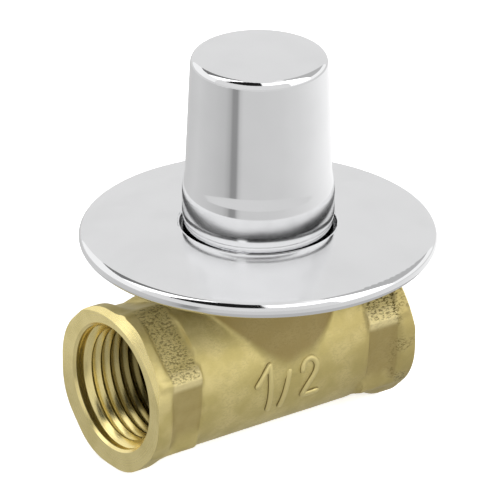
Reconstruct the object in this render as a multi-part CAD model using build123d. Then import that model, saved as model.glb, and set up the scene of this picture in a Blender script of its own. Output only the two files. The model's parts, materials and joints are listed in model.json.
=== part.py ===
from build123d import *
from math import cos, pi, radians, sin, tan
import os

os.makedirs("parts", exist_ok=True)

# Concealed stop valve for a half inch pipe. Millimetres throughout.
# The origin is the middle of the inlet mouth. +X is the way the water runs, and +Z runs up the spindle.

# Pipe sockets, each with a half inch inside thread
thread_diameter = 20.955
thread_height = 1.162
inlet_thread_depth = 13.0
outlet_thread_depth = 11.0
mouth_bevel = 0.42
relief_length = 1.0

# Cast body
inlet_reach = 29.1
outlet_reach = 22.3
neck_wall = 3.06
casting_wall = 3.4
collar_wall = 3.12
collar_length = 3.0
collar_corner = 5.0
collar_aside = 0.2
collar_drop = 0.45
bevel_radius = 15.65
bevel_slope = 0.85
bevel_aside = 1.47
bevel_drop = 3.45
wrench_wall = 1.67
wrench_length = 6.1
wrench_corner = 2.0
wrench_turn = 7.5
wrench_aside = 0.15
wrench_drop = 0.25
neck_chamfer = 0.6
partition = 2.0
bridge_wall = 2.3
chamber_round = 1.5
seat_lip = 1.2
seat_rise = 1.5
seat_level = 2.0

# Headwork, which screws into the neck
thread_gap = 0.15
neck_thread_length = 7.6
gasket_thickness = 0.6
housing_wall = 1.5
hex_step = 1.21
hex_height = 2.0
boss_wall = 2.45
bonnet_wall = 1.7
bonnet_length = 6.4
edge_chamfer = 0.4

# Rising disc with its rubber washer
lift = 4.0
seat_gap = 0.05
stem_flats = 11.0
stem_length = 8.6
piston_ledge = 1.85
piston_height = 3.0
piston_step = 1.2
piston_entry = 0.35
cup_step = 0.45
washer_rim = 0.7
rim_depth = 1.4
washer_thickness = 3.0
washer_margin = 1.5
carrier_floor = 2.15
carrier_ring_section = 1.6
plate_gap = 0.8
plate_thickness = 0.8
screw_diameter = 3.0
screw_head_diameter = 5.6
screw_head_height = 1.8
slot_width = 0.9
slot_depth = 1.0

# Spindle and what keeps it in place
running_gap = 0.05
end_gap = 0.4
spindle_thread_diameter = 7.0
collar_step = 0.2
spindle_collar_height = 1.6
thrust_thickness = 0.6
stem_diameter = 8.0
ring_section = 1.1
ring_gap = 0.04
ring_pitch = 2.6
first_ring = 1.9
clip_thickness = 0.6
clip_depth = 0.7
clip_width = 1.9
clip_opening = 70.0
spline_teeth = 20
spline_depth = 0.45

# Rosette
rosette_diameter = 58.2
sheet = 0.8
bead_radius = 1.43
hem_width = 1.0
hole_round = 0.6
rim_slope = 10.0
backing_thickness = 1.1
backing_width = 2.6
nut_wall = 1.6
nut_height = 2.4
nut_slots = 4
nut_slot_width = 2.6
nut_slot_depth = 1.0

# Handle
handle_height = 33.0
handle_floor_gap = 0.8
handle_side_gap = 0.45
nut_clearance = 0.85
spigot_wall = 0.95
skirt_swell = 0.15
bore_diameter = 20.1
top_wall = 1.1
grip_wall = 1.8
grip_foot = 13.8
skirt_top = 8.8
skirt_foot = 5.6
skirt_turn = 1.6
top_round = 1.8
top_crown = 0.5
roof_thickness = 1.5
bore_foot = 15.0
skirt_bore_top = 11.5
hub_wall = 2.3
hub_start = 1.0
hub_disc = 2.0
roof_gap = 3.7
hub_ribs = 6
rib_width = 1.6
rib_start = 3.0
hub_slots = 4
hub_slot_width = 0.8
hub_slot_length = 5.0
fit_gap = 0.05
spring_wire = 1.0
spring_level = 1.4
spring_opening = 40.0

# Places along the pipe
spindle_x = inlet_reach
body_length = inlet_reach + outlet_reach

# Levels up the spindle axis, measured from the pipe axis
web_top = seat_level - seat_rise
web_low = web_top - partition
washer_low = seat_level + seat_gap
washer_top = washer_low + washer_thickness
piston_low = washer_top + piston_step
piston_top = piston_low + piston_height
thread_low = piston_low - piston_entry
neck_height = thread_low + neck_thread_length
gasket_top = neck_height + gasket_thickness
hex_top = gasket_top + hex_height
floor_low = hex_top + backing_thickness
floor_top = floor_low + sheet
nut_top = floor_top + nut_height
cavity_floor = washer_top + carrier_floor
stem_top = piston_top + stem_length
recess_top = piston_top + lift + end_gap
spindle_tip = cavity_floor + lift + end_gap
collar_low = stem_top + lift + end_gap
collar_top = collar_low + spindle_collar_height
thrust_top = collar_top + thrust_thickness
shoulder = thrust_top + running_gap
bonnet_top = shoulder + bonnet_length
boss_top = collar_low + end_gap
clip_low = bonnet_top + end_gap / 2
clip_top = clip_low + clip_thickness
spline_low = clip_top + end_gap
hub_low = spline_low + hub_start
handle_low = floor_top + handle_floor_gap
handle_top = handle_low + handle_height
roof_low = handle_top - top_crown - roof_thickness
disc_top = roof_low - roof_gap
disc_low = disc_top - hub_disc
spline_top = disc_low - end_gap
spring_middle = hub_low + spring_level
bead_middle = floor_top + bead_radius

# Radii, each from the piece that it goes round
stem_radius = stem_diameter / 2
stem_bore_radius = stem_radius + running_gap + ring_gap / 2
stem_corner_radius = stem_flats / 2 / cos(pi / 6)
collar_radius = stem_flats / 2 - collar_step
bonnet_radius = collar_radius + bonnet_wall
piston_radius = stem_corner_radius + piston_ledge
recess_radius = piston_radius + running_gap + ring_gap
cup_radius = piston_radius - cup_step
washer_radius = cup_radius - washer_rim - fit_gap
seat_radius = washer_radius - washer_margin
housing_thread_radius = recess_radius + housing_wall
neck_thread_radius = housing_thread_radius + thread_gap
neck_chamber_radius = neck_thread_radius - thread_height
barrel_radius = neck_thread_radius + neck_wall
passage_radius = barrel_radius - casting_wall
socket_radius = thread_diameter / 2
relief_radius = socket_radius - thread_height
hex_flats = 2 * (housing_thread_radius + hex_step)
boss_radius = stem_corner_radius + boss_wall
nut_radius = boss_radius + nut_wall
skirt_bore_radius = nut_radius + nut_clearance
spigot_radius = skirt_bore_radius + spigot_wall
skirt_radius = spigot_radius + skirt_swell
hole_radius = spigot_radius + handle_side_gap
rosette_radius = rosette_diameter / 2
bore_radius = bore_diameter / 2
hub_radius = stem_radius + hub_wall

bottom = (Align.CENTER, Align.CENTER, Align.MIN)


def disc(radius, low, high):
    return Pos(0, 0, low) * Cylinder(radius, high - low, align=bottom)


def ring(outer, inner, low, high):
    return disc(outer, low, high) - disc(inner, low, high)


def hexagon(flats, low, high):
    return Pos(0, 0, low) * extrude(RegularPolygon(flats / 2, 6, major_radius=False), high - low)


def turned(outline):
    # An outline drawn in the XZ plane, turned once round the spindle axis
    return revolve(Plane.XZ * make_face(outline), Axis.Z)


def rounded(solid, axis, radius):
    return fillet(solid.edges().filter_by(axis), radius)


def along_pipe(radius, start, length):
    return Pos(start, 0, 0) * Rot(0, 90, 0) * Cylinder(radius, length, align=bottom)


def o_ring(section, outer, level):
    return Pos(0, 0, level) * Torus(outer - section / 2, section / 2)


def split(solid, opening, reach, low, high):
    # Cut a gap of the given angle through one side of a ring
    half = radians(opening / 2)
    wedge = Polyline((0, 0), (reach * cos(half), reach * sin(half)),
                     (reach * cos(half), -reach * sin(half)), (0, 0))
    return solid - Pos(0, 0, low) * extrude(make_face(wedge), high - low)


# Cast body
def many_sided(sides, reach, corner, turn, length):
    # A length of the casting with flat sides, the first of them facing the given angle from +Y
    outline = Rot(0, 0, turn + 180 / sides) * RegularPolygon(reach, sides, major_radius=False)
    return extrude(Plane.YZ * fillet(outline.vertices(), corner), length)


def body_end():
    # One end: an eight-sided collar, bevelled on its upper side, and six flats for a wrench
    # As on most castings, both lie a little off the bore
    deep = 2 * collar_length
    rise = deep * bevel_slope
    cone = Polyline((0, 0), (bevel_radius, 0), (bevel_radius + deep, rise), (0, rise), close=True)
    bevel = Pos(0, bevel_aside, -bevel_drop) * Rot(0, 90, 0) * turned(cone)
    collar = many_sided(8, socket_radius + collar_wall, collar_corner, 0, collar_length)
    flats = many_sided(6, socket_radius + wrench_wall, wrench_corner, wrench_turn, wrench_length)
    flats = Pos(collar_length, -wrench_aside, -wrench_drop) * flats
    return (Pos(0, collar_aside, -collar_drop) * collar & bevel) + flats


def socket(thread_depth, depth):
    # A threaded bore with a bevelled mouth, and a narrower bore behind it to the given depth
    mouth = Cone(socket_radius + mouth_bevel, socket_radius, mouth_bevel, align=bottom)
    bore = along_pipe(socket_radius, 0, thread_depth) + along_pipe(relief_radius, 0, depth)
    return bore + Rot(0, 90, 0) * mouth


def water_way(start, stop, low, high):
    # The part of the pipe bore between two levels, with the cast inner corners rounded
    block = Pos((start + stop) / 2, 0, (low + high) / 2) * Box(stop - start, 2 * passage_radius, high - low)
    return rounded(block, Axis.Y, chamber_round) & along_pipe(passage_radius, start, stop - start)


def outside():
    middle = Pos(body_length / 2, 0, 0)
    end_length = collar_length + wrench_length
    barrel = middle * Rot(0, 90, 0) * Cylinder(barrel_radius, body_length - 2 * end_length)
    neck = chamfer(disc(barrel_radius, 0, neck_height).edges().sort_by(Axis.Z)[-1], neck_chamfer)
    far_end = mirror(body_end(), Plane.YZ.offset(body_length / 2))
    return barrel + Pos(spindle_x, 0, 0) * neck + body_end() + far_end


def valve_body():
    # The inlet's way runs under the seat, and the outlet's way over it
    inlet_depth = spindle_x - neck_thread_radius - bridge_wall
    outlet_depth = outlet_thread_depth + relief_length
    far = body_length - outlet_depth
    past = chamber_round + partition
    beyond = passage_radius + past
    solid = outside() - socket(inlet_thread_depth, inlet_depth)
    solid -= mirror(socket(outlet_thread_depth, outlet_depth), Plane.YZ.offset(body_length / 2))
    solid -= water_way(inlet_depth - past, far - bridge_wall, -beyond, web_low)
    solid -= water_way(spindle_x, far + past, web_top, thread_low)
    neck_bore = disc(neck_chamber_radius, web_top, neck_height) + disc(neck_thread_radius, thread_low, neck_height)
    solid -= Pos(spindle_x, 0, 0) * neck_bore
    lip = disc(seat_radius + seat_lip, web_low, seat_level)
    return solid + Pos(spindle_x, 0, 0) * lip - Pos(spindle_x, 0, 0) * disc(seat_radius, web_low, seat_level)


# Headwork that does not turn
def headwork_gasket():
    return ring(barrel_radius - neck_chamfer, neck_thread_radius, neck_height, gasket_top)


def headwork_housing():
    solid = disc(housing_thread_radius, thread_low, gasket_top)
    collar = hexagon(hex_flats, gasket_top, hex_top)
    cap = disc(hex_flats / 2 / cos(pi / 6), gasket_top, hex_top)
    solid += collar & chamfer(cap.edges().sort_by(Axis.Z)[-1], edge_chamfer * 2)
    solid += disc(boss_radius, hex_top, boss_top)
    solid += disc(bonnet_radius, boss_top, bonnet_top)
    solid = chamfer(solid.edges().filter_by(GeomType.CIRCLE).sort_by(Axis.Z)[-1], edge_chamfer)
    solid -= disc(recess_radius, thread_low, recess_top)
    solid -= hexagon(stem_flats + 2 * running_gap, recess_top, collar_low)
    solid -= disc(collar_radius + running_gap, collar_low, shoulder)
    return solid - disc(stem_bore_radius, shoulder, bonnet_top)


# Rosette with its washer and nut
def rosette_backing_washer():
    inner = boss_radius + thread_gap
    return ring(inner + backing_width, inner, hex_top, floor_low)


def rosette():
    # One pressed sheet: a cup in the middle, a low crowned face and a rim rolled under to the wall
    bead = rosette_radius - bead_radius
    hem = bead - hem_width
    slope = radians(rim_slope)
    edge = hole_radius + hole_round
    wall = hole_radius + sheet
    root = boss_radius + thread_gap

    def rim(radius, angle):
        return bead + radius * sin(angle), bead_middle + radius * cos(angle)

    # The face is one arc, tangent to the rim at its slope and level where it meets the hole
    outer = rim(bead_radius, slope)
    top = outer[1] + (outer[0] - edge) * tan(slope / 2)
    inner = rim(bead_radius - sheet, slope)
    under = inner[1] + (inner[0] - wall) * tan(slope / 2)
    leaning = (-cos(slope), sin(slope))
    outline = [
        Line((hem, floor_top), (bead, floor_top)),
        ThreePointArc((bead, floor_top), rim(bead_radius, pi / 2), outer),
        TangentArc(outer, (edge, top), tangent=leaning),
        ThreePointArc((edge, top), (edge - hole_round * cos(pi / 4), top - hole_round * (1 - sin(pi / 4))),
                      (hole_radius, top - hole_round)),
        Polyline((hole_radius, top - hole_round), (hole_radius, floor_top), (root, floor_top),
                 (root, floor_low), (wall, floor_low), (wall, under)),
        TangentArc(inner, (wall, under), tangent=leaning),
        ThreePointArc(inner, rim(bead_radius - sheet, pi / 2), (bead, floor_top + sheet)),
        Polyline((bead, floor_top + sheet), (hem, floor_top + sheet), (hem, floor_top)),
    ]
    return turned(outline)


def rosette_lock_nut():
    solid = chamfer(disc(nut_radius, floor_top, nut_top).edges().sort_by(Axis.Z)[-1], edge_chamfer)
    solid -= disc(boss_radius + thread_gap, floor_top, nut_top)
    notch = Pos(nut_radius, 0, (floor_top + nut_top) / 2) * Box(2 * nut_slot_depth, nut_slot_width, nut_height)
    for number in range(nut_slots):
        solid -= Rot(0, 0, number * 360 / nut_slots) * notch
    return solid


# Spindle and its small parts
def ring_level(number):
    return shoulder + first_ring + number * ring_pitch


def splined(radius, depth, low, high):
    # A shaft with straight pointed teeth along it
    corners = []
    for number in range(2 * spline_teeth):
        angle = number * pi / spline_teeth
        reach = radius - depth * (number % 2)
        corners.append((reach * cos(angle), reach * sin(angle)))
    return Pos(0, 0, low) * extrude(make_face(Polyline(corners, close=True)), high - low)


def spindle():
    solid = disc(spindle_thread_diameter / 2, spindle_tip, collar_low)
    solid += disc(collar_radius, collar_low, collar_top)
    solid += disc(stem_radius, collar_top, spline_low)
    solid += splined(stem_radius, spline_depth, spline_low, spline_top)
    for number in range(2):
        level = ring_level(number)
        groove = ring_section / 2 + running_gap
        solid -= ring(stem_radius + sheet, stem_radius - ring_section, level - groove, level + groove)
    low = clip_low - running_gap
    return solid - ring(stem_radius + sheet, stem_radius - clip_depth, low, clip_top + running_gap)


def spindle_thrust_washer():
    return ring(collar_radius, stem_radius + running_gap, collar_top, thrust_top)


def spindle_o_ring(number):
    return o_ring(ring_section, stem_radius + ring_gap, ring_level(number))


def spindle_circlip():
    inner = stem_radius - clip_depth + running_gap
    clip = ring(inner + clip_width, inner, clip_low, clip_top)
    return split(clip, clip_opening, barrel_radius, clip_low, clip_top)


# Rising disc
def disc_carrier():
    ring_middle = (piston_low + piston_top) / 2
    half = carrier_ring_section / 2 + running_gap
    solid = disc(cup_radius, washer_top - rim_depth, piston_low)
    solid -= disc(cup_radius - washer_rim, washer_top - rim_depth, washer_top)
    solid += disc(piston_radius, piston_low, piston_top) + hexagon(stem_flats, piston_top, stem_top)
    groove = piston_radius - carrier_ring_section
    solid -= ring(recess_radius, groove, ring_middle - half, ring_middle + half)
    solid -= disc(spindle_thread_diameter / 2 + running_gap, cavity_floor, stem_top)
    return solid - disc(screw_diameter / 2 + running_gap, washer_top, cavity_floor)


def carrier_o_ring():
    return o_ring(carrier_ring_section, piston_radius + ring_gap, (piston_low + piston_top) / 2)


def seat_washer():
    return ring(washer_radius, screw_diameter / 2 + fit_gap, washer_low, washer_top)


def seat_washer_plate():
    return ring(seat_radius - plate_gap, screw_diameter / 2 + fit_gap, washer_low - plate_thickness, washer_low)


def seat_washer_screw():
    head_top = washer_low - plate_thickness
    head_low = head_top - screw_head_height
    head = chamfer(disc(screw_head_diameter / 2, head_low, head_top).edges().sort_by(Axis.Z)[0], edge_chamfer)
    slot = Pos(0, 0, head_low + slot_depth / 2) * Box(screw_head_diameter, slot_width, slot_depth)
    return head - slot + disc(screw_diameter / 2, head_top, cavity_floor - end_gap)


# Handle
def handle_shell():
    # A hollow cast cap, waisted above a skirt that turns in to pass through the rosette
    side = handle_low + grip_foot
    flare = handle_low + skirt_top
    turn = handle_low + skirt_foot
    crown_edge = handle_top - top_crown
    top = bore_radius + top_wall
    grip = bore_radius + grip_wall
    pull = (grip_foot - skirt_top) / 2
    outside = [
        Line((spigot_radius, handle_low), (spigot_radius, turn - skirt_turn)),
        Bezier((spigot_radius, turn - skirt_turn), (skirt_radius, turn - skirt_turn / 2), (skirt_radius, turn)),
        Line((skirt_radius, turn), (skirt_radius, flare)),
        Bezier((skirt_radius, flare), (skirt_radius, flare + pull), (grip, side - pull), (grip, side)),
        Line((grip, side), (top, crown_edge - top_round)),
        Bezier((top, crown_edge - top_round), (top, crown_edge), (top - top_round, crown_edge)),
        Bezier((top - top_round, crown_edge), (top / 2, handle_top), (0, handle_top)),
    ]
    inside = Polyline(
        (0, handle_top), (0, roof_low), (bore_radius, roof_low), (bore_radius, handle_low + bore_foot),
        (skirt_bore_radius, handle_low + skirt_bore_top), (skirt_bore_radius, handle_low),
        (spigot_radius, handle_low))
    return turned(outside + [inside])


def handle_insert():
    # A splined plastic hub, slotted at its foot, with ribs and a disc that fill the bore of the handle
    reach = bore_radius - fit_gap
    solid = disc(hub_radius, hub_low, disc_low) + disc(reach, disc_low, disc_top)
    rib_low = hub_low + rib_start
    rib = Pos(reach / 2, 0, (rib_low + disc_low) / 2) * Box(reach, rib_width, disc_low - rib_low)
    bounds = disc(reach, rib_low, disc_low)
    for number in range(hub_ribs):
        solid += Rot(0, 0, number * 360 / hub_ribs) * rib & bounds
    slot = Pos(hub_radius, 0, hub_low + hub_slot_length / 2) * Box(2 * hub_wall, hub_slot_width, hub_slot_length)
    for number in range(hub_slots):
        solid -= Rot(0, 0, (number + 0.5) * 360 / hub_slots) * slot
    half = spring_wire / 2 + running_gap
    solid -= ring(bore_radius, hub_radius - spring_wire / 2, spring_middle - half, spring_middle + half)
    return solid - splined(stem_radius + fit_gap, spline_depth, hub_low, disc_low)


def handle_spring_ring():
    level = spring_middle
    wire = Pos(0, 0, level) * Torus(hub_radius + fit_gap, spring_wire / 2)
    return split(wire, spring_opening, barrel_radius, level - spring_wire, level + spring_wire)


on_spindle = {
    "headwork_gasket": headwork_gasket(),
    "headwork_housing": headwork_housing(),
    "rosette_backing_washer": rosette_backing_washer(),
    "rosette": rosette(),
    "rosette_lock_nut": rosette_lock_nut(),
    "spindle": spindle(),
    "spindle_thrust_washer": spindle_thrust_washer(),
    "spindle_o_ring_lower": spindle_o_ring(0),
    "spindle_o_ring_upper": spindle_o_ring(1),
    "spindle_circlip": spindle_circlip(),
    "disc_carrier": disc_carrier(),
    "carrier_o_ring": carrier_o_ring(),
    "seat_washer": seat_washer(),
    "seat_washer_plate": seat_washer_plate(),
    "seat_washer_screw": seat_washer_screw(),
    "handle_shell": handle_shell(),
    "handle_insert": handle_insert(),
    "handle_spring_ring": handle_spring_ring(),
}

export_step(valve_body(), "parts/valve_body.step")
for name, piece in on_spindle.items():
    export_step(Pos(spindle_x, 0, 0) * piece, f"parts/{name}.step")
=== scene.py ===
import bpy
import bmesh
import json
import math
import numpy as np
from mathutils import Matrix, Vector

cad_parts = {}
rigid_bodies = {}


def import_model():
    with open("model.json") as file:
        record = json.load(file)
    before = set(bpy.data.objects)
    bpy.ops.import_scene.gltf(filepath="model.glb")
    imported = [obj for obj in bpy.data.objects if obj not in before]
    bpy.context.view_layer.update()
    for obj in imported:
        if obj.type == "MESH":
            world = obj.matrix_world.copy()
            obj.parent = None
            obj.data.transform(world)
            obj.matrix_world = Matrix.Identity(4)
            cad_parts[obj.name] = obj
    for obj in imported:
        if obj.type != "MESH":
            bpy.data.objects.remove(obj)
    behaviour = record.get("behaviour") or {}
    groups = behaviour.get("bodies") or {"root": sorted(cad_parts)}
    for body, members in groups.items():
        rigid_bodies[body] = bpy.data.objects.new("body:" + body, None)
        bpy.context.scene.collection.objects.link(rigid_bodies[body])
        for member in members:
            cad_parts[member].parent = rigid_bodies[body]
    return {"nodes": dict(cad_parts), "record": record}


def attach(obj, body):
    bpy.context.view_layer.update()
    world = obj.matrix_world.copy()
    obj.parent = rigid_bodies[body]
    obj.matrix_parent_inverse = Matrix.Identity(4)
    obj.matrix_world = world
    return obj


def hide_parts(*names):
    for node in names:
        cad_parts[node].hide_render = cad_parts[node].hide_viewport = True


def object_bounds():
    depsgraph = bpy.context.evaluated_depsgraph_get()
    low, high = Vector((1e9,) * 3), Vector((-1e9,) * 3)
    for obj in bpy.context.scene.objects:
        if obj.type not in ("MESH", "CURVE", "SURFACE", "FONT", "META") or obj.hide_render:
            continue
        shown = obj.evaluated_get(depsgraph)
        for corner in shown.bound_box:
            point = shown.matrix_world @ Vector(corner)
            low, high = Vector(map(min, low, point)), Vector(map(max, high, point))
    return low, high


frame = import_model()
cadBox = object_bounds()
print("frame loaded:", len(frame["nodes"]), "nodes")

mm = 0.001  # settings are in mm and degrees, unless a note names another unit


class Wire:  # a node socket that takes part in Python sums
    def __init__(self, board, out):
        self.board, self.out = board, out

    def sum(self, operation, *others):
        return self.board.add("ShaderNodeMath", {"operation": operation}, dict(enumerate((self,) + others)))

    def __add__(self, other):
        return self.sum("ADD", other)

    def __sub__(self, other):
        return self.sum("SUBTRACT", other)

    def __mul__(self, other):
        return self.sum("MULTIPLY", other)

    def __truediv__(self, other):
        return self.sum("DIVIDE", other)

    # The reflected forms, so that a number can stand first
    __radd__, __rmul__ = __add__, __mul__

    def __rsub__(self, other):
        return self.sum("MULTIPLY", -1) + other

    def __rtruediv__(self, other):
        return self.sum("POWER", -1) * other

    def step(self, start, stop, low=0.0, high=1.0):  # a smooth rise from low to high between two values
        settings = {"interpolation_type": "SMOOTHSTEP"}
        return self.board.add("ShaderNodeMapRange", settings, {0: self, 1: start, 2: stop, 3: low, 4: high})

    def part(self, name):
        return Wire(self.board, self.out.node.outputs[name])


class Board:  # a node tree, and the one method that adds to it
    def __init__(self, tree):
        self.tree = tree
        tree.nodes.clear()

    def add(self, kind, settings=None, sockets=None, out=0):
        node = self.tree.nodes.new(kind)
        for name, value in (settings or {}).items():
            if name == "stops":
                ramp = node.color_ramp.elements
                while len(ramp) < len(value):
                    ramp.new(0.5)
                for stop, (place, colour) in zip(ramp, value):
                    stop.position, stop.color = place, (*colour, 1)
            else:
                setattr(node, name, value)
        for name, value in (sockets or {}).items():
            if isinstance(value, Wire):
                self.tree.links.new(value.out, node.inputs[name])
            else:
                node.inputs[name].default_value = value
        return Wire(self, node.outputs[out]) if len(node.outputs) else node


# The cast body. The materials use its length, spindle and barrel too.

body = {
    "length": 51.4,
    "spindleX": 29.1,
    "barrel": 13.0,
    # Eight-sided collars round a middle given as (y, z)
    "collarReach": 13.5975,
    "collarLength": 3.0,
    "collarEdge": 0.4,
    "collarCorner": 10.5,
    "collarMiddle": (0.2, -0.45),
    # The cone that bevels the outer edge of a collar
    "bevelRadius": 15.65,
    "bevelWidth": 6,
    "bevelSlope": 0.85,
    "bevelMiddle": (1.47, -3.45),
    # Six wrench flats
    "wrenchReach": 12.1475,
    "wrenchStop": 9.1,
    "wrenchCorner": 2.0,
    "wrenchTurn": 7.5,
    "wrenchMiddle": (-0.15, -0.25),
    # The slope from collar to flats: its least length and the most that is added, the way (y, z) in which
    # it is longest, and its rings as shares of its length and of the way in
    "shoulder": (0.5, 2.6),
    "shoulderWay": (0.507, 0.862),
    "shoulderRings": ((0.35, 0.45), (0.7, 0.85), (1.0, 1.02)),
    "neckHeight": 13.5,
    "castNeck": (26.3, 13.2),
    "neckChamfer": 0.6,
    # The skin: voxels, the factor and rounds of softening, waves and pits, and the noise that moves nothing
    "voxel": 0.30,
    "softening": (0.5, 3),
    "wave": 0.10,
    "waveSize": 5.0,
    "pit": 0.05,
    "pitSize": 0.9,
    "skinLevel": 0.62,
    "sharpAngle": 38,
    # Sockets: radii at the thread and behind it, the mouth's bevel, thread depths of the near and far end
    "socket": 10.4775,
    "relief": 9.3155,
    "reliefRun": 0.6,
    "mouthBevel": 0.42,
    "threadDepth": (13.0, 11.0),
    "inletWall": 2.3,
    "outletDepth": 12.0,
    # How far the facing cut and the bore stand out of the metal
    "faceClear": 3,
    "boreClear": 2,
    # The neck's bores, the partition's lower and upper face, and the seat: bore, rim and height
    "neckThread": 9.943,
    "neckChamber": 8.781,
    "threadLow": 5.9,
    "partition": (-1.5, 0.5),
    "seat": (5.5, 6.7, 2.0),
    # The water ways, below the partition and above it
    "passage": 9.603,
    "wayOverlap": 3.5,
    "lowWayStop": 37.1,
    "highWayStop": 42.9,
}


# Materials

def newMaterial(name):
    material = bpy.data.materials.new(name)
    material.use_nodes = True
    return material, Board(material.node_tree)


def finishSurface(board, looks, bump=None):
    if bump:
        height, strength, distance = bump
        looks["Normal"] = board.add("ShaderNodeBump", {}, {"Height": height, "Strength": strength,
                                                          "Distance": distance * mm})
    surface = board.add("ShaderNodeBsdfPrincipled", {}, looks)
    board.add("ShaderNodeOutputMaterial", {}, {"Surface": surface})


def placeMm(board):  # the place in mm, and its x, y and z
    place = board.add("ShaderNodeTexCoord", {}, {}, out="Object")
    scaled = board.add("ShaderNodeVectorMath", {"operation": "SCALE"}, {0: place, "Scale": 1 / mm})
    axes = board.add("ShaderNodeSeparateXYZ", {}, {0: scaled})
    return scaled, axes, axes.part("Y"), axes.part("Z")


def noise(board, place, scale, detail=2.0, rough=0.5):
    sockets = {"Vector": place, "Scale": scale, "Detail": detail, "Roughness": rough}
    return board.add("ShaderNodeTexNoise", {}, sockets)


def within(value, rise, fall):  # 1 between two smooth steps, one up and one down
    return value.step(*rise) * value.step(*fall)


def outFrom(first, second):  # how far out, by two axes
    return (first * first + second * second).sum("SQRT")


def blend(board, factor, first, second):
    sockets = {0: factor, 6: first, 7: second}
    for key in (6, 7):
        if not isinstance(sockets[key], Wire):
            sockets[key] = (*sockets[key], 1)
    return board.add("ShaderNodeMix", {"data_type": "RGBA"}, sockets, out=2)


castFinish = {
    "skin": (0.54, 0.45, 0.175),
    "pale": (0.66, 0.56, 0.25),
    "dark": (0.13, 0.10, 0.03),
    # the colour of the painted shade on the neck under the rosette, the flats that face forwards and the far
    # half
    "neck": (0.33, 0.245, 0.095),
    # the colour of the painted highlight on the corner between two flats
    "worn": (0.86, 0.75, 0.40),
    "grainMm": 0.30,
    "waveScale": 0.25,
    "pitScale": 2.6,
    "pitStretch": (0.7, 1.3, 1.3),
    # Places, each as smooth steps: which way (y, z) it faces and how far out it lies, and where it begins
    # and stops, from the nearer end of the body
    "coarse": ((-0.609, 0.793), (11.35, 11.75), (3.0, 3.3), (8.9, 8.3)),
    "plainFlat": ((-1.0, 0.0), (11.5, 11.9), (3.0, 3.4), (9.1, 8.9)),
    # the corner between two flats, where the highlight is painted
    "wornCorner": ((-0.924, 0.383), (12.9, 13.4), (3.0, 3.6), (9.4, 8.6)),
    # Stains, by the noise that breaks them up and by where they lie
    "patchNoise": (0.42, 0.62),
    "patchX": (10.0, 14.0),
    "farTopNoise": (0.40, 0.55),
    "farTopX": (40.5, 42.0),
    "farTopZ": (5.5, 8.5),
    "sootNoise": (0.44, 0.60),
    "sootX": (46.5, 48.5),
    "sootFront": (8.0, 10.0),
    "paleNoise": (0.35, 0.70),
    "pitNoise": (0.50, 0.57),
    # Where the painted shade lies: the neck under the rosette, by how far out it lies, its height and how far
    # it stays from the nearer end, and the far half
    "neckOut": (13.0, 13.8),
    "neckZ": (1.0, 3.0),
    "neckX": (10.5, 11.5),
    "farX": (30.0, 46.0),
}


def castBrass():
    f = castFinish
    material, board = newMaterial("cast brass")
    place, x, y, z = placeMm(board)
    fromEnd = x.sum("MINIMUM", body["length"] - x)

    def onSide(name):
        (wayY, wayZ), reach, begin, stop = f[name]
        return (z * wayZ + y * wayY).step(*reach) * within(fromEnd, begin, stop)

    grain = noise(board, place, 1 / f["grainMm"], 3, 0.65)
    waves = noise(board, place, f["waveScale"])
    stretched = board.add("ShaderNodeMapping", {}, {"Vector": place, "Scale": f["pitStretch"]})
    pits = noise(board, stretched, f["pitScale"], 3, 0.65)
    # The coarse grain lies on the flats that face up and forwards, at both ends of the body
    coarse = onSide("coarse")
    patches = waves.step(*f["patchNoise"]) * x.step(*f["patchX"])
    farTop = x.step(*f["farTopX"]) * z.step(*f["farTopZ"]) * (0.35 + waves.step(*f["farTopNoise"]) * 0.65)
    sooty = x.step(*f["sootX"]) * (0.0 - y).step(*f["sootFront"]) * waves.step(*f["sootNoise"])
    speckle = (pits.step(*f["pitNoise"]) * (0.05 + coarse * 0.72 + patches * 0.12 + farTop * 0.7 + sooty * 0.6)
               + farTop * 0.30 + sooty * 0.15)
    paintedNeckShade = outFrom(y, z).step(*f["neckOut"]) * z.step(*f["neckZ"]) * fromEnd.step(*f["neckX"])
    colour = blend(board, waves.step(*f["paleNoise"]), f["skin"], f["pale"])
    # Painted shade: the neck under the rosette, the flats that face forwards and the far half are darker
    for part in (paintedNeckShade * 0.8, onSide("plainFlat") * 0.5, x.step(*f["farX"]) * 0.30):
        colour = blend(board, part, colour, f["neck"])
    # Painted highlight: the corner between two flats is brighter, and the grain lies on paler metal
    colour = blend(board, onSide("wornCorner") * 0.7, colour, f["worn"])
    colour = blend(board, coarse * 0.4, colour, f["pale"])
    colour = blend(board, speckle * 0.8, colour, f["dark"])
    height = grain * (0.25 + coarse * 0.5) - pits * (0.3 + coarse * 1.6 + patches * 0.5)
    looks = {"Base Color": colour, "Metallic": 0.85, "Roughness": 0.44 + grain * 0.12}
    finishSurface(board, looks, (height, 0.7, 0.12))
    return material


turnedFinish = {
    "bright": (0.93, 0.79, 0.37),
    "tarnished": (0.82, 0.69, 0.30),
    # the painted shade deep in the sockets, and the depths over which it comes in
    "oily": (0.22, 0.18, 0.07),
    "oilDepth": (2.5, 11.0),
    "linesPerMm": 9.0,
}


def turnedBrass(name, axis):
    f = turnedFinish
    material, board = newMaterial(name)
    place, x, y, z = placeMm(board)
    along, out = (x, outFrom(y, z)) if axis == "X" else (z, outFrom(x, y))
    perMm = f["linesPerMm"]
    rings = board.add("ShaderNodeCombineXYZ", {}, {0: along * perMm, 1: out * perMm, 2: 0.5})
    lines = noise(board, rings, 1.0, 2, 0.6)
    tarnish = noise(board, place, 0.25, 3)
    colour = blend(board, tarnish.step(0.35, 0.75), f["bright"], f["tarnished"])
    if axis == "X":  # painted shade: darker deeper in the sockets
        depth = x.sum("MINIMUM", body["length"] - x)
        colour = blend(board, depth.step(*f["oilDepth"]), colour, f["oily"])
    looks = {"Base Color": colour, "Metallic": 1.0, "Roughness": 0.20 + lines * 0.12}
    finishSurface(board, looks, (lines, 0.25, 0.02))
    return material


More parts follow.
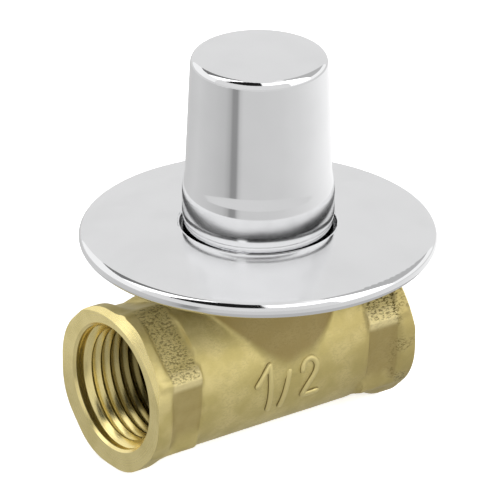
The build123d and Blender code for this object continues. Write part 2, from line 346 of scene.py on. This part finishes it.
def metal(name, colour, rough, lineScale, strength=0.0, satin=None):
    material, board = newMaterial(name)
    place, x, y, z = placeMm(board)
    wipes = noise(board, place, lineScale, 3)
    smudge = noise(board, place, 0.12)
    roughness = rough + smudge.step(0.4, 0.8) * rough * 0.5 + wipes * rough * 0.3
    if satin:  # a rougher band between two radii round the spindle
        inner, outer, more = satin
        out = outFrom(x - body["spindleX"], y)
        roughness = roughness + within(out, (inner - 3, inner + 1), (outer + 0.3, outer - 0.3)) * more
    shade = blend(board, smudge.step(0.3, 0.8), colour, tuple(c * 0.96 for c in colour))
    finishSurface(board, {"Base Color": shade, "Metallic": 1.0, "Roughness": roughness},
                  (wipes, strength, 0.01) if strength else None)
    return material


def moulded(name, colour, rough, grain, strength):
    material, board = newMaterial(name)
    place = placeMm(board)[0]
    bits = noise(board, place, grain, 3, 0.6)
    patches = noise(board, place, grain / 9)
    shade = blend(board, patches.step(0.35, 0.7), colour, tuple(c * 0.8 for c in colour))
    looks = {"Base Color": shade, "Metallic": 0.0, "Roughness": rough + bits * 0.1}
    finishSurface(board, looks, (bits, strength, 0.03))
    return material


castSkin = castBrass()
turnedAlongPipe = turnedBrass("turned brass, pipe", "X")
turnedAlongSpindle = turnedBrass("turned brass, spindle", "Z")
finishes = {
    "cast_brass": castSkin,
    "turned_brass": turnedAlongSpindle,
    "chrome_sheet": metal("chrome, pressed sheet", (0.88, 0.882, 0.89), 0.06, 1.5, satin=(15.5, 27.3, 0.09)),
    "chrome_cast": metal("chrome, casting", (0.88, 0.882, 0.89), 0.05, 1.5),
    "rubber": moulded("seal rubber", (0.03, 0.03, 0.032), 0.55, 5.0, 0.3),
    "fibre": moulded("pressed fibre", (0.42, 0.11, 0.07), 0.75, 3.0, 0.5),
    "slip_plastic": moulded("slip ring plastic", (0.86, 0.86, 0.84), 0.35, 2.0, 0.1),
    "hub_plastic": moulded("hub plastic", (0.10, 0.10, 0.105), 0.45, 4.0, 0.25),
    "spring_steel": metal("spring steel", (0.50, 0.51, 0.53), 0.22, 8.0, 0.2),
    "stainless": metal("stainless steel", (0.60, 0.60, 0.60), 0.26, 8.0, 0.2),
}
slotOf = {part["node"]: part["material_slot"] for part in frame["record"]["subparts"]}
for node, piece in frame["nodes"].items():
    piece.data.materials.clear()
    piece.data.materials.append(finishes[slotOf[node]])
print("materials made:", len(finishes))


# Cast body: a rough blank, then the turning cuts

def meshObject(name, points, faces):
    mesh = bpy.data.meshes.new(name)
    mesh.from_pydata([Vector(p) * mm for p in points], [], faces)
    piece = bpy.data.objects.new(name, mesh)
    bpy.context.scene.collection.objects.link(piece)
    return piece


def alongX(name, rings):  # rings of (x, y, z), each anticlockwise seen from +X
    count = len(rings[0])
    faces = [tuple(range(count))[::-1], tuple(range((len(rings) - 1) * count, len(rings) * count))]
    for row in range(0, (len(rings) - 1) * count, count):
        for k in range(count):
            n = (k + 1) % count
            faces.append((row + k, row + n, row + count + n, row + count + k))
    return meshObject(name, [spot for ring in rings for spot in ring], faces)


def prismAlongX(name, outline, start, stop):  # outline is a list of (y, z), anticlockwise seen from +X
    return alongX(name, [[(x, y, z) for y, z in outline] for x in (start, stop)])


def circle(radius, steps=128):
    return [(radius * math.cos(2 * math.pi * k / steps), radius * math.sin(2 * math.pi * k / steps))
            for k in range(steps)]


def manySided(sides, reach, corner, turn, middle, steps=144):
    # An outline with flat sides and rounded corners, by even steps of angle round its own middle
    outline = []
    half = math.pi / sides
    bend = (reach - corner) / math.cos(half)
    for k in range(steps):
        angle = 2 * math.pi * k / steps
        off = (angle - math.radians(turn) + half) % (2 * half) - half
        toCorner = half - abs(off)
        aside = bend * math.sin(toCorner)
        inCorner = bend * math.cos(toCorner) + math.sqrt(max(corner ** 2 - aside ** 2, 0))
        onFlat = reach / math.cos(off)
        tangent = math.tan(abs(off)) * reach < (reach - corner) * math.tan(half)
        radius = onFlat if tangent else inCorner
        outline.append((middle[0] + radius * math.cos(angle), middle[1] + radius * math.sin(angle)))
    return outline


def turned(name, profile, steps=160):
    # A closed profile of (radius, height) turned round Z; radius 0 is a pole
    points, rows = [], []
    for radius, height in profile:
        if radius == 0:
            points.append((0, 0, height))
            rows.append([len(points) - 1] * steps)
        else:
            rows.append(list(range(len(points), len(points) + steps)))
            points += [(x, y, height) for x, y in circle(radius, steps)]
    faces = []
    for low, high in zip(rows, rows[1:] + rows[:1]):
        for k in range(steps):
            n = (k + 1) % steps
            face = list(dict.fromkeys((low[k], low[n], high[n], high[k])))
            if len(face) > 2:
                faces.append(face)
    return meshObject(name, points, faces)


def outward(piece):
    shape = bmesh.new()
    shape.from_mesh(piece.data)
    bmesh.ops.remove_doubles(shape, verts=shape.verts, dist=1e-7)
    bmesh.ops.recalc_face_normals(shape, faces=shape.faces)
    shape.to_mesh(piece.data)
    shape.free()
    return piece


def place(piece, matrix):
    piece.data.transform(matrix)
    return outward(piece)


toPipe = Matrix.Rotation(math.pi / 2, 4, "Y")
fromFar = Matrix.Translation((body["length"] * mm, 0, 0)) @ Matrix.Scale(-1, 4, (1, 0, 0))
onSpindle = Matrix.Translation((body["spindleX"] * mm, 0, 0))


def joined(name, pieces):
    whole = bmesh.new()
    for piece in pieces:
        whole.from_mesh(piece.data)
        bpy.data.objects.remove(piece)
    mesh = bpy.data.meshes.new(name)
    whole.to_mesh(mesh)
    whole.free()
    piece = bpy.data.objects.new(name, mesh)
    bpy.context.scene.collection.objects.link(piece)
    return piece


def plain(piece):  # apply what is on the piece, as a mesh of its own
    bpy.context.view_layer.update()
    mesh = bpy.data.meshes.new_from_object(piece.evaluated_get(bpy.context.evaluated_depsgraph_get()))
    piece.modifiers.clear()
    piece.data = mesh


def blankShape():
    b = body
    collar = manySided(8, b["collarReach"], b["collarCorner"], 0, b["collarMiddle"])
    flats = manySided(6, b["wrenchReach"], b["wrenchCorner"], b["wrenchTurn"], b["wrenchMiddle"])
    edge = b["collarLength"] - b["collarEdge"]
    (least, more), (wayY, wayZ) = b["shoulder"], b["shoulderWay"]
    ends = []
    for name in ("near", "far"):
        # The collar runs down to the flats in a slope that is longest at the upper back and the lower front
        rings = [[(x, y, z) for y, z in collar] for x in (-1, edge)]
        for share, drop in b["shoulderRings"]:
            ring = []
            for (y, z), (flatY, flatZ) in zip(collar, flats):
                lean = (y * wayY + z * wayZ) ** 2 / (y * y + z * z)
                x = edge + share * (least + more * lean)
                ring.append((x, y + (flatY - y) * drop, z + (flatZ - z) * drop))
            rings.append(ring)
        ends.append(alongX(name + "Collar", rings))
        ends.append(prismAlongX(name + "Flats", flats, 1, b["wrenchStop"]))
        if name == "far":
            for piece in ends[2:]:
                piece.data.transform(fromFar)
    flatsStop, top, chamfer = b["wrenchStop"], b["neckHeight"], b["neckChamfer"]
    barrel = prismAlongX("barrel", circle(b["barrel"]), flatsStop - 0.01, b["length"] - flatsStop + 0.01)
    # The casting's neck is fuller towards the inlet than the bore in it
    necks = []
    for name, middle, radius in (("neck", b["spindleX"], b["barrel"]), ("fuller", *b["castNeck"])):
        profile = [(0, 0), (radius, 0), (radius, top - chamfer), (radius - chamfer, top), (0, top)]
        necks.append(place(turned(name, profile), Matrix.Translation((middle * mm, 0, 0))))
    return joined("cast_body", [outward(piece) for piece in ends + [barrel]] + necks)


def skinTree():
    tree = bpy.data.node_groups.new("sand cast skin", "GeometryNodeTree")
    tree.interface.new_socket("Geometry", in_out="INPUT", socket_type="NodeSocketGeometry")
    for name in ("Wave", "Wave size", "Pit", "Pit size"):
        tree.interface.new_socket(name, in_out="INPUT", socket_type="NodeSocketFloat")
    tree.interface.new_socket("Material", in_out="INPUT", socket_type="NodeSocketMaterial")
    tree.interface.new_socket("Geometry", in_out="OUTPUT", socket_type="NodeSocketGeometry")
    board = Board(tree)
    given = board.add("NodeGroupInput")
    spot = board.add("GeometryNodeInputPosition")
    normal = board.add("GeometryNodeInputNormal")
    broad = noise(board, spot, 1.0 / given.part("Wave size"))
    fine = noise(board, spot, 1.0 / given.part("Pit size"), 3.0)
    level = body["skinLevel"]
    lift = (broad - level) * given.part("Wave") + (fine - level) * given.part("Pit")
    shift = board.add("ShaderNodeVectorMath", {"operation": "SCALE"}, {0: normal, "Scale": lift})
    moved = board.add("GeometryNodeSetPosition", {}, {"Geometry": given, "Offset": shift})
    real = board.add("GeometryNodeRealizeInstances", {}, {0: moved})
    done = board.add("GeometryNodeSetMaterial", {}, {"Geometry": real, "Material": given.part("Material")})
    board.add("NodeGroupOutput", {}, {"Geometry": done})
    return tree


def useTree(piece, tree, values):
    modifier = piece.modifiers.new(tree.name, "NODES")
    modifier.node_group = tree
    for item in tree.interface.items_tree:
        if item.in_out == "INPUT" and item.name in values:
            modifier[item.identifier] = values[item.name]


def cutters():
    b = body
    socket, relief, bevel, out = b["socket"], b["relief"], b["mouthBevel"], b["boreClear"]
    face, wide, clear = b["bevelRadius"], b["bevelRadius"] + b["bevelWidth"], b["faceClear"]
    back = b["bevelWidth"] * b["bevelSlope"]
    inletDepth = b["spindleX"] - b["neckThread"] - b["inletWall"]
    cuts = []
    for end, threadDepth, depth in zip(("near", "far"), b["threadDepth"], (inletDepth, b["outletDepth"])):
        faceCut = turned(end + "Face", [(0, -clear), (0, 0), (face, 0), (wide, back), (wide, -clear)])
        bore = turned(end + "Bore", [(0, -out), (socket + bevel + out, -out), (socket, bevel),
                                     (socket, threadDepth), (relief, threadDepth + b["reliefRun"]),
                                     (relief, depth), (0, depth)])
        for cut in (faceCut, bore):
            place(cut, toPipe)
            if cut == faceCut:
                place(cut, Matrix.Translation((0, b["bevelMiddle"][0] * mm, b["bevelMiddle"][1] * mm)))
            if end == "far":
                place(cut, fromFar)
            cut.data.materials.append(turnedAlongPipe)
            cuts.append(cut)
    foot, floor = b["partition"]
    seat, rim, rimTop = b["seat"]
    chamber, thread, low, top = b["neckChamber"], b["neckThread"], b["threadLow"], b["neckHeight"] + 1.5
    neck = turned("neckBore", [(0, foot - 1), (seat, foot - 1), (seat, rimTop), (rim, rimTop), (rim, floor),
                               (chamber, floor), (chamber, low), (thread, low), (thread, top), (0, top)])
    # The water ways: below the partition from the inlet, and above it to the outlet
    passage = b["passage"]
    edge = math.sqrt(passage ** 2 - foot ** 2)
    under = [(-edge, foot)] + [(y, z) for y, z in circle(passage) if z < foot] + [(edge, foot)]
    lowWay = prismAlongX("lowWay", under, inletDepth - b["wayOverlap"], b["lowWayStop"])
    over = [(y, z) for y, z in circle(passage) if floor < z < low]
    highWay = prismAlongX("highWay", over, b["spindleX"] + rim, b["highWayStop"])
    place(neck, onSpindle).data.materials.append(turnedAlongSpindle)
    for way in (lowWay, highWay):
        outward(way).data.materials.append(castSkin)
    return cuts + [neck, lowWay, highWay]


def makeCastBody():
    b = body
    piece = blankShape()
    remesh = piece.modifiers.new("one casting", "REMESH")
    remesh.mode, remesh.voxel_size = "VOXEL", b["voxel"] * mm
    soften = piece.modifiers.new("mould edges", "SMOOTH")
    soften.factor, soften.iterations = b["softening"]
    useTree(piece, skinTree(), {"Wave": b["wave"] * mm, "Wave size": b["waveSize"] * mm,
                                "Pit": b["pit"] * mm, "Pit size": b["pitSize"] * mm, "Material": castSkin})
    plain(piece)
    cuts = cutters()
    for cut in cuts:
        take = piece.modifiers.new(cut.name, "BOOLEAN")
        take.operation, take.solver, take.object = "DIFFERENCE", "MANIFOLD", cut
        take.material_mode = "TRANSFER"
    plain(piece)
    for cut in cuts:
        bpy.data.objects.remove(cut)
    piece.data.shade_smooth()
    piece.data.set_sharp_from_angle(angle=math.radians(b["sharpAngle"]))
    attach(piece, "body")
    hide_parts("valve_body")
    print("cast body:", len(piece.data.polygons), "faces,", [m.name for m in piece.data.materials])


makeCastBody()


# Threads in the pipe sockets

thread = {
    "pitch": 1.814,
    "crest": 9.36,
    "near": (0.9, 12.9),
    "far": (40.5, 49.5),
    "pointsPerTurn": 120,
    # The share of its length in which a ridge fades, how far its foot lies in the wall, how much narrower
    # than the foot its flank and crest are on each side, in pitches, and the flank's share of the height
    "fade": 0.07,
    "footIn": 0.04,
    "flankNarrow": 0.10,
    "crestNarrow": 0.42,
    "flankHeight": 0.13,
}


def threadTree():
    t = thread
    tree = bpy.data.node_groups.new("pipe thread", "GeometryNodeTree")
    for name in ("Pitch", "Root", "Crest", "Start", "Turns"):
        tree.interface.new_socket(name, in_out="INPUT", socket_type="NodeSocketFloat")
    tree.interface.new_socket("Points", in_out="INPUT", socket_type="NodeSocketInt")
    tree.interface.new_socket("Material", in_out="INPUT", socket_type="NodeSocketMaterial")
    tree.interface.new_socket("Geometry", in_out="OUTPUT", socket_type="NodeSocketGeometry")
    board = Board(tree)
    given = board.add("NodeGroupInput")
    pitch, root, crest = given.part("Pitch"), given.part("Root"), given.part("Crest")
    turns = given.part("Turns")
    # A grid of thread profile by length: column 0 to 5 across the ridge, rows along the helix
    grid = board.add("GeometryNodeMeshGrid", {}, {"Size X": 1.0, "Size Y": 1.0, "Vertices X": 6,
                                                 "Vertices Y": given.part("Points")})
    spot = board.add("ShaderNodeSeparateXYZ", {}, {0: board.add("GeometryNodeInputPosition")})
    column = ((spot + 0.5) * 5.0).sum("ROUND")
    along = spot.part("Y") + 0.5
    fade = within(along, (0.0, t["fade"]), (1.0, 1.0 - t["fade"]))
    # Across the ridge: foot, flank, crest, crest, flank, foot
    raised = column.sum("COMPARE", 2.0, 0.1) + column.sum("COMPARE", 3.0, 0.1)
    flank = column.sum("COMPARE", 1.0, 0.1) + column.sum("COMPARE", 4.0, 0.1)
    side = (column - 2.5).sum("SIGN")
    halfWidth = 0.5 - flank * t["flankNarrow"] - raised * t["crestNarrow"]
    height = flank * t["flankHeight"] + raised
    radius = root + (1.0 - height) * (t["footIn"] * mm) - (root - crest) * height * fade
    angle = along * turns * (2 * math.pi)
    x = given.part("Start") + pitch * (along * turns + side * halfWidth * (0.25 + fade * 0.75))
    y, z = radius * angle.sum("COSINE"), radius * angle.sum("SINE")
    where = board.add("ShaderNodeCombineXYZ", {}, {0: x, 1: y, 2: z})
    moved = board.add("GeometryNodeSetPosition", {}, {"Geometry": grid, "Position": where})
    smooth = board.add("GeometryNodeSetShadeSmooth", {}, {"Geometry": moved})
    real = board.add("GeometryNodeRealizeInstances", {}, {0: smooth})
    done = board.add("GeometryNodeSetMaterial", {}, {"Geometry": real, "Material": given.part("Material")})
    board.add("NodeGroupOutput", {}, {"Geometry": done})
    return tree


def makeThreads():
    t = thread
    tree = threadTree()
    for end in ("near", "far"):
        start, stop = t[end]
        turns = (stop - start) / t["pitch"]
        piece = meshObject(f"{end}_socket_thread", [], [])
        useTree(piece, tree, {"Pitch": t["pitch"] * mm, "Root": body["socket"] * mm,
                              "Crest": t["crest"] * mm, "Start": start * mm, "Turns": turns,
                              "Points": int(turns * t["pointsPerTurn"]), "Material": turnedAlongPipe})
        plain(piece)
        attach(piece, "body")
        print(piece.name, len(piece.data.polygons), "faces, turns", round(turns, 2))


makeThreads()


# Raised size numerals on the front of the barrel

numerals = {
    # Points along each stroke, as x and the way up round the barrel
    "strokes": [
        [(22.32, 2.83), (22.45, -1.4), (22.55, -5.57)],
        [(22.30, 2.84), (21.0, 1.4), (19.7, -0.2)],
        [(26.07, 0.9), (25.5, -2.4), (24.95, -5.57)],
        [(28.75, 0.2), (28.83, 1.0), (29.42, 1.89), (30.55, 2.06), (31.48, 1.25), (31.64, 0.05),
         (31.07, -1.16), (30.01, -2.58), (29.26, -4.2), (29.20, -4.75), (30.2, -4.80), (32.1, -4.7)],
    ],
    "halfWidth": 0.55,
    "height": 0.36,
    "lift": 0.02,
    # A stroke's section, as shares of the half width and the height
    "section": [(-1.0, -0.5), (-0.92, 0.3), (-0.62, 0.92), (0.0, 1.0), (0.62, 0.92), (0.92, 0.3),
                (1.0, -0.5)],
    # A stroke's round end: how far past the path in half widths, and the share of the section there
    "round": ((0.9, 0.25), (0.6, 0.75)),
    # The painted shade at the foot of a stroke, and the heights between which it turns pale
    "foot": (0.20, 0.155, 0.055),
    "footHeight": (0.06, 0.22),
}


def numeralBrass():
    material, board = newMaterial("cast brass, numerals")
    place, _, y, z = placeMm(board)
    grain = noise(board, place, 3.0, 3, 0.6)
    height = outFrom(y, z) - body["barrel"]
    # painted shade at the foot of each stroke, turning pale higher up
    colour = blend(board, height.step(*numerals["footHeight"]), numerals["foot"], castFinish["pale"])
    looks = {"Base Color": colour, "Metallic": 0.85, "Roughness": 0.42 + grain * 0.12}
    finishSurface(board, looks, (grain, 0.5, 0.06))
    return material


def makeNumerals():
    n = numerals
    section, reach = n["section"], n["halfWidth"]
    points, faces = [], []
    for stroke in n["strokes"]:
        curve = bpy.data.curves.new("stroke", "CURVE")
        curve.dimensions = "3D"
        spline = curve.splines.new("NURBS")
        spline.points.add(len(stroke) - 1)
        for point, (x, s) in zip(spline.points, stroke):
            point.co = (x, s, 0, 1)
        spline.order_u, spline.use_endpoint_u, spline.resolution_u = 3, True, 8
        line = bpy.data.objects.new("stroke", curve)
        bpy.context.scene.collection.objects.link(line)
        bpy.context.view_layer.update()
        path = [v.co.copy() for v in bpy.data.meshes.new_from_object(
            line.evaluated_get(bpy.context.evaluated_depsgraph_get())).vertices]
        bpy.data.objects.remove(line)
        tip, tail = (path[0] - path[1]).normalized(), (path[-1] - path[-2]).normalized()
        path = ([path[0] + tip * reach * past for past, _ in n["round"]] + path
                + [path[-1] + tail * reach * past for past, _ in n["round"][::-1]])
        first = len(points)
        for k, spot in enumerate(path):
            ahead = (path[min(k + 1, len(path) - 1)] - path[max(k - 1, 0)]).normalized()
            across = Vector((-ahead.y, ahead.x, 0))
            end = min(k, len(path) - 1 - k)
            fill = n["round"][end][1] if end < len(n["round"]) else 1.0
            for sideways, rise in section:
                flat = spot + across * sideways * reach * fill
                radius = body["barrel"] + n["lift"] + n["height"] * rise * (fill if rise > 0 else 1)
                angle = flat.y / body["barrel"]
                points.append((flat.x, -radius * math.cos(angle), radius * math.sin(angle)))
        width = len(section)
        for k in range(len(path) - 1):
            for j in range(width - 1):
                a = first + k * width + j
                faces.append((a, a + 1, a + width + 1, a + width))
            a = first + k * width
            faces.append((a + width - 1, a, a + width, a + 2 * width - 1))
        faces.append(tuple(first + j for j in range(width)))
        last = first + (len(path) - 1) * width
        faces.append(tuple(last + j for j in range(width))[::-1])
    piece = outward(meshObject("size_numerals", points, faces))
    piece.data.materials.append(numeralBrass())
    piece.data.shade_smooth()
    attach(piece, "body")
    print("numerals:", len(faces), "faces")


makeNumerals()


# Studio: floor, lamps, cards for the reflections, and camera

studio = {
    "floorSize": 3000.0,
    "floorGlow": 0.62,
    "floorColour": 0.80,
    # How far the floor and the table greys lie under the object
    "floorDrop": 0.2,
    "tableDrop": 0.1,
    "worldPlain": 0.60,
    # Places and sizes in metres, and watts
    "lamps": [
        ("key", (0.05, -0.85, 0.50), 0.55, 9.0),
        ("fill", (-0.80, -0.30, 0.45), 0.60, 3.0),
        ("back", (0.20, 0.80, 0.60), 0.60, 2.0),
    ],
    "lampAim": (0.026, 0, 0.01),
    # What polished metal shows of the room: degrees to the right of the camera from and to, degrees up from
    # and to, the strength seen at once, and the strength seen by way of another polished surface
    "cards": [
        ("dark_side", (-64, 5), (35, 80), 0.012, 1.0),
        ("front_wall", (-75, 52), (-2, 40), 0.78, 1.0),
        ("window", (8, 52), (40, 70), 1.8, 1.0),
        ("side_window", (52, 92), (8, 66), 1.9, 1.0),
        ("left_window", (-104, -64), (34, 76), 1.8, 1.0),
        ("left_edge", (-143, -107), (36, 74), 0.20, 0.9),
        ("right_edge", (93, 140), (20, 70), 0.50, 0.9),
        ("back_wall", (140, 217), (-3, 76), 0.80, 0.9),
        ("ceiling", (-180, 180), (76, 89.9), 0.80, 0.9),
    ],
    "cardMiddle": 15,
    "cardDistance": 1600.0,
    "cardBehind": 0.01,
    "cardSteps": 40,
    # Greys of the table round the object, by the same degrees, and rings of one grey (from, to, grey)
    "table": [(-142, 0.62), (-110, 0.66), (-75, 0.60), (-53, 0.54), (-45, 0.44), (-41, 0.30), (-34, 0.30),
              (-30, 0.56), (-24, 0.65), (0, 0.655), (36, 0.68), (67, 0.75), (92, 0.83), (125, 0.96),
              (153, 1.05)],
    "tableReach": (55.0, 260.0),
    "underBody": (0.01, 55.0, 0.50),
    "farTable": (260.01, 1450.0, 0.72),
    # What the foot of the handle shows by way of the rosette: greys and the heights at which they start, by
    # the same degrees, the radius, longest way and top of their card, the heights above which any length of
    # way counts, how the greys fade upwards, and a bright spot (degrees, width in degrees, height, strength)
    "low": [(-150, 0.02), (-110, 0.06), (-60, 0.10), (-32, 0.06), (-10, 0.01), (60, 0.0), (112, 0.0),
            (135, 0.1)],
    "lowEdge": [(-180, 33.3), (-107, 33.5), (-54, 34.2), (-24, 34.5), (3, 33.1), (36, 33.5), (71, 33.2),
                (113, 34.3)],
    "lowArc": (60.0, 50.0, 50.5),
    "lowOpen": (43.5, 44.5),
    "lowFade": (33.5, 46.0, 1.6, 0.4),
    "spot": (-22, 9, 46.5, 1.3),
    "ringSteps": 96,
}


def standing(name, points, faces, material):  # a card that only polished surfaces see
    card = meshObject(name, points, faces)
    card.data.materials.append(material)
    card.visible_camera = card.visible_diffuse = card.visible_shadow = card.visible_transmission = False


def bySecond(board):  # 1 for light that has come by way of a second polished surface, and 0 before it
    return board.add("ShaderNodeLightPath", {}, {}, out="Ray Depth").step(1.4, 1.6)


def glow(board, strength, part=None):  # a surface that glows, or only a part of it
    shine = board.add("ShaderNodeEmission", {}, {"Color": (1, 1, 1, 1), "Strength": strength})
    if part is not None:
        clear = board.add("ShaderNodeBsdfTransparent")
        shine = board.add("ShaderNodeMixShader", {}, {0: part, 1: clear, 2: shine})
    board.add("ShaderNodeOutputMaterial", {}, {"Surface": shine})


def straight(board):  # 1 for what the camera sees at once, by a polished surface or through glass
    path = board.add("ShaderNodeLightPath")
    return (path + path.part("Is Glossy Ray") + path.part("Is Transmission Ray")).sum("MINIMUM", 1.0)


def turnedShare(board):  # degrees to the right of the camera round the spindle, as a share from -180 to 180
    _, x, y, _ = placeMm(board)
    turn = y.sum("ARCTAN2", x - body["spindleX"]) + math.radians(90 + camera["azimuth"])
    return turn.sum("WRAP", math.pi, -math.pi) / (2 * math.pi) + 0.5


def byTurn(board, stops):  # a grey by those degrees
    share = turnedShare(board)
    greys = [(turned / 360 + 0.5, (grey, grey, grey)) for turned, grey in stops]
    return board.add("ShaderNodeValToRGB", {"stops": greys}, {"Fac": share})


def ringCard(name, inner, outer, material, edge=None):  # two rings of (radius, height) and the band between
    count = studio["ringSteps"]
    points = [(body["spindleX"] + x, y, height) for radius, height in (inner, outer)
              for x, y in circle(radius, count)]
    # The edge, where one is given, sets the inner ring's heights by the same degrees
    for k, (x, y, height) in enumerate(points[:count] if edge else []):
        turned = (math.degrees(math.atan2(y, x - body["spindleX"])) + 270 + camera["azimuth"]) % 360 - 180
        points[k] = (x, y, float(np.interp(turned, *zip(*edge), period=360)))
    faces = [(k, (k + 1) % count, count + (k + 1) % count, count + k) for k in range(count)]
    standing(name, points, faces, material)


def makeCards():
    s = studio
    middle = Vector((body["spindleX"], 0, s["cardMiddle"]))
    facing = math.radians(-90 - camera["azimuth"])
    steps = s["cardSteps"]
    faces = [(k, k + 1, k + steps + 2, k + steps + 1) for k in range((steps + 1) * steps)
             if (k + 1) % (steps + 1)]
    for order, (name, (left, right), (low, high), strength, second) in enumerate(s["cards"]):
        points = []
        distance = s["cardDistance"] * (1 + s["cardBehind"] * order)  # each card is a little behind the last
        for i in range(steps + 1):
            for j in range(steps + 1):
                turn = facing + math.radians(left + (right - left) * i / steps)
                rise = math.radians(low + (high - low) * j / steps)
                level = math.cos(rise)
                way = Vector((math.cos(turn) * level, math.sin(turn) * level, math.sin(rise)))
                points.append(middle + way * distance)
        material, board = newMaterial(name)
        glow(board, strength + bySecond(board) * (second - strength))
        standing(name, points, faces, material)
    level = cadBox[0].z / mm - s["tableDrop"]
    material, board = newMaterial("table greys")
    glow(board, byTurn(board, s["table"]))
    near, far = s["tableReach"]
    ringCard("table_greys", (near, level), (far, level), material)
    for name, (start, stop, strength) in (("under_body", s["underBody"]), ("far_table", s["farTable"])):
        material, board = newMaterial(name)
        glow(board, strength)
        ringCard(name, (start, level), (stop, level), material)


def makeLowGreys():
    s = studio
    material, board = newMaterial("low greys")
    z = placeMm(board)[3]
    # Of what comes by way of a second surface, this card shows only what ends its way as short as this or
    # lands this high, which is what the rosette throws on the foot of the handle
    radius, reach, high = s["lowArc"]
    way = board.add("ShaderNodeLightPath", {}, {}, out="Ray Length") / mm
    short = way.step(reach + 0.6, reach - 0.6).sum("MAXIMUM", z.step(*s["lowOpen"]))
    where, wide, rise, bright = s["spot"]
    aside = ((turnedShare(board) - (where / 360 + 0.5)) * (360 / wide)).sum("ABSOLUTE")
    spot = aside.step(1.0, 0.4) * z.step(rise - 0.8, rise + 0.4)
    grey = board.add("ShaderNodeRGBToBW", {}, {0: byTurn(board, s["low"])}) * z.step(*s["lowFade"])
    glow(board, grey + spot * bright, bySecond(board) * short)
    ringCard("low_greys", (radius, 0), (radius, high), material, s["lowEdge"])


def makeStudio():
    s = studio
    level, half = cadBox[0].z / mm - s["floorDrop"], s["floorSize"] / 2
    corners = [(-half, -half, level), (half, -half, level), (half, half, level), (-half, half, level)]
    floor = meshObject("floor", corners, [(0, 1, 2, 3)])
    material, board = newMaterial("pale floor")
    paint = board.add("ShaderNodeBsdfDiffuse", {}, {"Color": (*[s["floorColour"]] * 3, 1)})
    strength = straight(board) * s["floorGlow"]
    shine = board.add("ShaderNodeEmission", {}, {"Color": (1, 1, 1, 1), "Strength": strength})
    both = board.add("ShaderNodeAddShader", {}, {0: paint, 1: shine})
    board.add("ShaderNodeOutputMaterial", {}, {"Surface": both})
    floor.data.materials.append(material)
    world = bpy.data.worlds.new("studio")
    bpy.context.scene.world = world
    world.use_nodes = True
    sky = Board(world.node_tree)
    strength = s["worldPlain"] + straight(sky) * (1.0 - s["worldPlain"])
    air = sky.add("ShaderNodeBackground", {}, {"Color": (1, 1, 1, 1), "Strength": strength})
    sky.add("ShaderNodeOutputWorld", {}, {"Surface": air})
    for name, where, size, power in s["lamps"]:
        lamp = bpy.data.lights.new(name, "AREA")
        lamp.shape, lamp.size, lamp.energy = "DISK", size, power
        holder = bpy.data.objects.new(name, lamp)
        holder.location = where
        holder.rotation_euler = (Vector(s["lampAim"]) - Vector(where)).to_track_quat("-Z", "Y").to_euler()
        holder.visible_glossy = False
        bpy.context.scene.collection.objects.link(holder)


camera = {
    "azimuth": 36.0,
    "elevation": 25.5,
    "distance": 1000.0,
    "lens": 441.0,
    "sensor": 36.0,
    # Clipping in metres
    "clip": (0.05, 20.0),
    "middle": (26.0, 0.0, 0.0),
    "right": 1.22,
    "up": 15.76,
    "roll": 0.4,
}


def makeCamera():
    c = camera
    turn, rise = math.radians(c["azimuth"]), math.radians(c["elevation"])
    back = Vector((-math.sin(turn) * math.cos(rise), -math.cos(turn) * math.cos(rise), math.sin(rise)))
    right = Vector((math.cos(turn), -math.sin(turn), 0))
    up = back.cross(right)
    aim = Vector(c["middle"]) + right * c["right"] + up * c["up"]
    data = bpy.data.cameras.new("camera")
    data.sensor_width, data.lens = c["sensor"], c["lens"]
    data.clip_start, data.clip_end = c["clip"]
    holder = bpy.data.objects.new("camera", data)
    rolled = Matrix.Rotation(math.radians(c["roll"]), 4, "Z")
    turned = back.to_track_quat("Z", "Y").to_matrix().to_4x4() @ rolled
    holder.matrix_world = Matrix.Translation((aim + back * c["distance"]) * mm) @ turned
    bpy.context.scene.collection.objects.link(holder)
    bpy.context.scene.camera = holder


makeStudio()
makeCards()
makeLowGreys()
makeCamera()
bpy.context.scene.view_settings.view_transform = "Standard"
print("studio and camera set")
